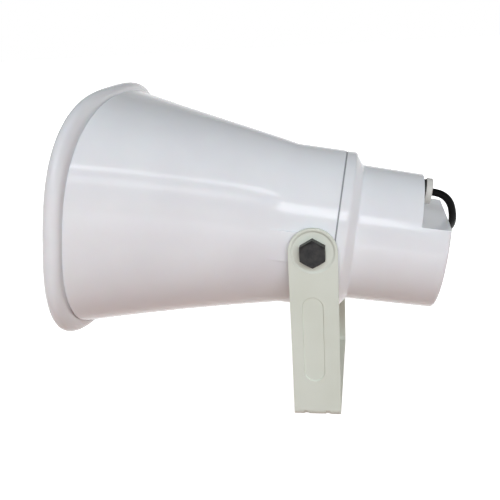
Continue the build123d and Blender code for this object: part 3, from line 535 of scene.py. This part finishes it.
def combine(thing, other, operation):
    """Join or cut with another closed mesh, which is used up."""
    modifier = thing.modifiers.new("combine", "BOOLEAN")
    modifier.operation = operation
    modifier.solver = "EXACT"
    modifier.object = other
    bpy.context.view_layer.update()
    result = bpy.data.meshes.new_from_object(thing.evaluated_get(bpy.context.evaluated_depsgraph_get()))
    thing.modifiers.clear()
    old = thing.data
    thing.data = result
    bpy.data.meshes.remove(old)
    bpy.data.objects.remove(other)


def smooth_shaded(thing):
    """Smooth shading that keeps real edges sharp."""
    thing.data.shade_smooth()
    thing.data.set_sharp_from_angle(angle=radians(SHARP_FROM))


def mould_flare():
    """The horn's moulding, with its pads, bosses and seam lugs, smooth enough for clear highlights."""
    rings = horn_rings()
    points = [point for ring in rings for point in ring_points(*ring)]
    flare = new_solid("horn_moulding", points, ring_faces(len(rings), RING_POINTS, closed=True),
                      finishes["white_abs"])
    half = LUG_WIDTH / 2
    slot = LUG_SLOT / 2
    lug_front = SEAM - LUG_LENGTH
    for side in (-1, 1):
        pad = prism("pad", PAD_OUTLINE, PAD_ROOT, PAD_FACE, along_pivot(side), EDGE)
        combine(flare, pad, "UNION")
        boss = prism("boss", circle(BOSS_RADIUS), BOSS_INNER_FACE, PAD_FACE - BOSS_SINK, along_pivot(side))
        combine(flare, boss, "UNION")
        bore = prism("bore", circle(INSERT_RADIUS), BOSS_INNER_FACE - CUT_PAST, PAD_FACE + CUT_PAST,
                     along_pivot(side))
        combine(flare, bore, "DIFFERENCE")
        lug_place = out_of_seam(radians(LUG_ANGLE) * side)
        for low, high in ((-half, -slot), (slot, half)):
            outline = ((lug_front, low), (SEAM, low), (SEAM, high), (lug_front, high))
            lug = prism("lug", outline, -WALL / 2, LUG_DEPTH, lug_place, EDGE / 2)
            combine(flare, lug, "UNION")
    smooth_shaded(flare)
    return flare


flare = mould_flare()
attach(flare, "horn")
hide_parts("horn_flare")

# Rear cover


def turned(name, profile, finish, height=0.0, count=RING_POINTS, hollow=True):
    """Solid turned about a line along the horn, from (x, radius) points: a ring, or with two flat ends."""
    points = []
    for x, radius in profile:
        for step in range(count):
            angle = 2 * pi * step / count
            points.append(metres(horn_point(x, radius * cos(angle), height + radius * sin(angle))))
    faces = ring_faces(len(profile), count, closed=hollow)
    if not hollow:
        faces += [tuple(range(count)), tuple(range(len(points) - count, len(points)))]
    return new_solid(name, points, faces, finish)


def softened(corners):
    """Profile points from (x, radius, rounding) corners; a rounded one becomes a short smooth curve."""
    points = []
    for index, (x, radius, rounding) in enumerate(corners):
        here = Vector((x, radius))
        if not rounding:
            points.append(tuple(here))
            continue
        before = here + (Vector(corners[index - 1][:2]) - here).normalized() * rounding
        after = here + (Vector(corners[index + 1][:2]) - here).normalized() * rounding
        for step in range(ROUND_STEPS + 1):
            share = step / ROUND_STEPS
            points.append(tuple(before.lerp(here, share).lerp(here.lerp(after, share), share)))
    return points


def cap_middle():
    """Corners along the cap between the shoulder and its rear rim."""
    corners = []
    for step in range(1, CAP_RINGS):
        share = step / CAP_RINGS
        corners.append((COVER_SHOULDER_REAR + (COVER_REAR - COVER_SHOULDER_REAR) * share,
                        COVER_SHOULDER_RADIUS + (COVER_REAR_RADIUS - COVER_SHOULDER_RADIUS) * share, 0))
    return corners


def cut_notch(thing, back):
    """Take the lead's notch out of the cover's upper rear, with its faces set back into the wall."""
    side = COVER_RING_RADIUS
    floor = NOTCH_SHELF - back
    outline = ((-side, floor), (side, floor), (side, side), (-side, side))
    notch = prism("notch", outline, NOTCH_FACE - back, COVER_REAR + CUT_PAST, along_horn(0, 0))
    combine(thing, notch, "DIFFERENCE")


def mould_cover():
    """Rear cover: ring, soft shoulder, cap with rounded rim and the lead's notch, four screw recesses."""
    cover = turned("cover_moulding", softened([
        (COVER_FRONT, COVER_RING_RADIUS - EDGE / 2, 0), (COVER_FRONT + EDGE / 2, COVER_RING_RADIUS, 0),
        (COVER_SLOPE_FRONT, COVER_RING_RADIUS, RING_ROUND),
        (COVER_SHOULDER_REAR, COVER_SHOULDER_RADIUS, SHOULDER_ROUND), *cap_middle(),
        (COVER_REAR, COVER_REAR_RADIUS, CAP_ROUND), (COVER_REAR, COVER_REAR_RADIUS - 2 * CAP_ROUND, 0)]),
        finishes["white_abs"], hollow=False)
    cavity = turned("cavity", [
        (COVER_FRONT - CUT_PAST, SEAT_BORE), (COVER_SLOPE_FRONT - COVER_WALL, SEAT_BORE),
        (COVER_SHOULDER_REAR, COVER_SHOULDER_RADIUS - COVER_WALL),
        (COVER_REAR - COVER_WALL, COVER_REAR_RADIUS - COVER_WALL)], finishes["white_abs"], hollow=False)
    cut_notch(cavity, COVER_WALL)
    cut_notch(cover, 0.0)
    combine(cover, cavity, "DIFFERENCE")
    for across in (-POST_PLACE, POST_PLACE):
        for up, wall in ((POST_PLACE, NOTCH_FACE), (-POST_PLACE, COVER_REAR)):
            recess = prism("recess", circle(HEAD_RECESS_RADIUS), wall - HEAD_RECESS_DEPTH, wall + CUT_PAST,
                           along_horn(across, up))
            combine(cover, recess, "DIFFERENCE")
    bore = prism("bore", circle(BUSHING_NECK + BUSHING_GAP), NOTCH_FACE - COVER_WALL - CUT_PAST,
                 NOTCH_FACE + CUT_PAST, along_horn(0, LEAD_HEIGHT))
    combine(cover, bore, "DIFFERENCE")
    smooth_shaded(cover)
    return cover


cover = mould_cover()
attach(cover, "horn")
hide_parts("rear_cover")

# Bushing


def round_over(front, rear, radius, rounding):
    """Section points of a disc's rounded rim from its front face to its rear face."""
    points = []
    for start, x in ((180, front + rounding), (90, rear - rounding)):
        for step in range(RIM_STEPS + 1):
            angle = radians(start - 90 * step / RIM_STEPS)
            points.append((x + rounding * cos(angle), radius - rounding + rounding * sin(angle)))
    return points


barb_rear = NOTCH_FACE - COVER_WALL - BARB_GAP
nose = NOTCH_FACE - COVER_WALL - BARB_LENGTH - NOSE_TAPER
bushing = turned("bushing", [
    (nose, LEAD_RADIUS), (nose, BUSHING_NECK - NOSE_TAPER),
    (barb_rear, BARB_RADIUS), (barb_rear, BUSHING_NECK),
    (FLANGE_FRONT, BUSHING_NECK), *round_over(FLANGE_FRONT, FLANGE_REAR, BUSHING_FLANGE, FLANGE_ROUND),
    (FLANGE_REAR, LEAD_RADIUS)], finishes["white_nylon"], LEAD_HEIGHT, TURNED_POINTS)
smooth_shaded(bushing)
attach(bushing, "horn")
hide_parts("cable_bushing")

seal = turned("lead_seal", [
    (NOTCH_FACE, BUSHING_NECK), (NOTCH_FACE, SEAL_RADIUS), (FLANGE_FRONT, SEAL_RADIUS),
    (FLANGE_FRONT, BUSHING_NECK)], finishes["black_rubber"], LEAD_HEIGHT, TURNED_POINTS)
smooth_shaded(seal)
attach(seal, "horn")
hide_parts("bushing_seal")

# Lead


def hank_points():
    """The put-away turns, slightly oval, spiralling in on the floor to the bared cores, as control points."""
    points = []
    steps = round(HANK_TURNS * POINTS_PER_TURN)
    for step in range(steps + 1):
        angle = radians(HANK_FIRST_ANGLE - 360 * step / POINTS_PER_TURN)
        radius = HANK_OUTER_TURN - HANK_TURN_STEP * step / POINTS_PER_TURN
        oval = HANK_OVAL * min(1.0, (steps - step) / HANK_OVAL_FADE)
        points.append((HANK_CENTRE[0] + (radius + oval) * cos(angle),
                       HANK_CENTRE[1] + oval + (radius - oval) * sin(angle), LEAD_RADIUS))
    return points


def lay_lead():
    """The lead as one smooth round tube, from inside the cover down to the end of its hank."""
    points = [horn_point(LEAD_START, 0, LEAD_HEIGHT), horn_point(LEAD_BEND_START, 0, LEAD_HEIGHT)]
    points += list(LEAD_ROUTE) + hank_points()
    curve = bpy.data.curves.new("lead", "CURVE")
    curve.dimensions = "3D"
    curve.bevel_depth = LEAD_RADIUS * MM
    curve.bevel_resolution = LEAD_SIDE_STEPS
    curve.resolution_u = LEAD_STEPS_PER_POINT
    curve.use_fill_caps = True
    spline = curve.splines.new("NURBS")
    spline.points.add(len(points) - 1)
    for control, point in zip(spline.points, points):
        control.co = (*metres(point), 1.0)
    spline.order_u = LEAD_CURVE_ORDER
    spline.use_endpoint_u = True
    lead = bpy.data.objects.new("lead", curve)
    bpy.context.collection.objects.link(lead)
    curve.materials.append(finishes["lead_sheath"])
    return lead, points


lead, lead_points = lay_lead()
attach(lead, "horn")
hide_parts("cable", "cable_coil")

# Floor, backdrop and light


def seen_directly(tree):
    """One where the camera, a clear reflection or glass sees the surface, else zero."""
    path = add(tree, "ShaderNodeLightPath").outputs
    sight = path["Is Camera Ray"]
    for ray in ("Is Glossy Ray", "Is Transmission Ray"):
        sight = add(tree, "ShaderNodeMath", {0: sight, 1: path[ray]}, operation="MAXIMUM").outputs["Value"]
    return sight


def pale_floor():
    """Matt floor: white where it is seen, with its shadows, a warm table top in the light it throws back."""
    material = bpy.data.materials.new("pale_matt_floor")
    material.use_nodes = True
    tree = material.node_tree
    tree.nodes.clear()
    table = add(tree, "ShaderNodeBsdfDiffuse", {"Color": linear(FLOOR_BOUNCE)})
    paper = add(tree, "ShaderNodeBsdfDiffuse", {"Color": linear(PAPER_WHITE)})
    place = add(tree, "ShaderNodeTexCoord").outputs["Object"]
    distance = add(tree, "ShaderNodeVectorMath", {0: place}, operation="LENGTH").outputs["Value"]
    strength = add(tree, "ShaderNodeMapRange", {
        "Value": distance, "From Min": SHADOW_REACH[0], "From Max": SHADOW_REACH[1],
        "To Min": FLOOR_GLOW, "To Max": 1.0}, interpolation_type="SMOOTHSTEP").outputs["Result"]
    glow = add(tree, "ShaderNodeEmission", {"Color": linear(PAPER_WHITE), "Strength": strength})
    white = add(tree, "ShaderNodeAddShader", {0: paper.outputs["BSDF"], 1: glow.outputs["Emission"]})
    floor = add(tree, "ShaderNodeMixShader", {
        "Fac": seen_directly(tree), 1: table.outputs["BSDF"], 2: white.outputs["Shader"]})
    add(tree, "ShaderNodeOutputMaterial", {"Surface": floor.outputs["Shader"]})
    return material


def lay_floor():
    """Wide pale floor under the object."""
    mesh = bpy.data.meshes.new("floor")
    half = FLOOR_HALF
    corners = [(-half, -half, 0), (half, -half, 0), (half, half, 0), (-half, half, 0)]
    mesh.from_pydata(corners, [], [(0, 1, 2, 3)])
    floor = bpy.data.objects.new("floor", mesh)
    bpy.context.collection.objects.link(floor)
    mesh.materials.append(pale_floor())


lay_floor()


def soft_lamp(name, turn, rise, distance, width, height, watts, colour, mirrored=True):
    """Rectangular lamp that faces the horn, turned to the right of its front and risen by degrees."""
    turn, rise = radians(turn), radians(rise)
    toward = Vector((sin(turn) * cos(rise), -cos(turn) * cos(rise), sin(rise)))
    data = bpy.data.lights.new(name, "AREA")
    data.shape = "RECTANGLE"
    data.size = width
    data.size_y = height
    data.energy = watts
    data.color = linear(colour)[:3]
    lamp = bpy.data.objects.new(name, data)
    lamp.location = Vector(LIT_CENTRE) + toward * distance
    lamp.rotation_euler = toward.to_track_quat("Z", "Y").to_euler()
    lamp.visible_glossy = mirrored
    bpy.context.collection.objects.link(lamp)


def light_world():
    """Studio walls: white to the camera, grey above eye level in reflections, dim in the light they give."""
    world = bpy.data.worlds.new("studio")
    bpy.context.scene.world = world
    world.use_nodes = True
    tree = world.node_tree
    tree.nodes.clear()
    direction = add(tree, "ShaderNodeTexCoord").outputs["Generated"]
    rise = add(tree, "ShaderNodeSeparateXYZ", {"Vector": direction}).outputs["Z"]
    wall = add(tree, "ShaderNodeMapRange", {
        "Value": rise, "From Min": WALL_WHITE_TO, "From Max": CEILING_FROM, "To Min": 1.0, "To Max": CEILING},
        interpolation_type="SMOOTHSTEP").outputs["Result"]
    lit = add(tree, "ShaderNodeMix", {
        "Factor": seen_directly(tree), "A": AMBIENT, "B": wall}, data_type="FLOAT")
    camera_ray = add(tree, "ShaderNodeLightPath").outputs["Is Camera Ray"]
    strength = add(tree, "ShaderNodeMix", {
        "Factor": camera_ray, "A": lit.outputs["Result"], "B": 1.0}, data_type="FLOAT")
    back = add(tree, "ShaderNodeBackground", {
        "Color": linear(PAPER_WHITE), "Strength": strength.outputs["Result"]})
    add(tree, "ShaderNodeOutputWorld", {"Surface": back.outputs["Background"]})


light_world()

# Large softboxes give the even light; the small windows give the horn its crisp highlights.
soft_lamp("front_softbox", turn=17, rise=23, distance=SOFTBOX_DISTANCE, width=2.4, height=1.2, watts=27.2,
          colour=SOFTBOX_COOL, mirrored=False)
soft_lamp("mouth_softbox", turn=-95, rise=8, distance=SOFTBOX_DISTANCE, width=1.6, height=1.2, watts=8.0,
          colour=PAPER_WHITE, mirrored=False)
soft_lamp("rear_softbox", turn=178, rise=12, distance=SOFTBOX_DISTANCE, width=2.4, height=1.2, watts=17.0,
          colour=PAPER_WHITE, mirrored=False)
soft_lamp("neck_window", turn=13, rise=35, distance=WINDOW_DISTANCE, width=0.40, height=0.29, watts=1.6,
          colour=WINDOW_COOL)
soft_lamp("flare_window", turn=38.2, rise=44, distance=WINDOW_DISTANCE, width=0.18, height=0.11, watts=0.25,
          colour=WINDOW_COOL)
soft_lamp("side_window", turn=35.0, rise=29.5, distance=WINDOW_DISTANCE, width=0.11, height=0.17, watts=0.11,
          colour=WINDOW_PALE)

bpy.context.scene.view_settings.view_transform = "Standard"
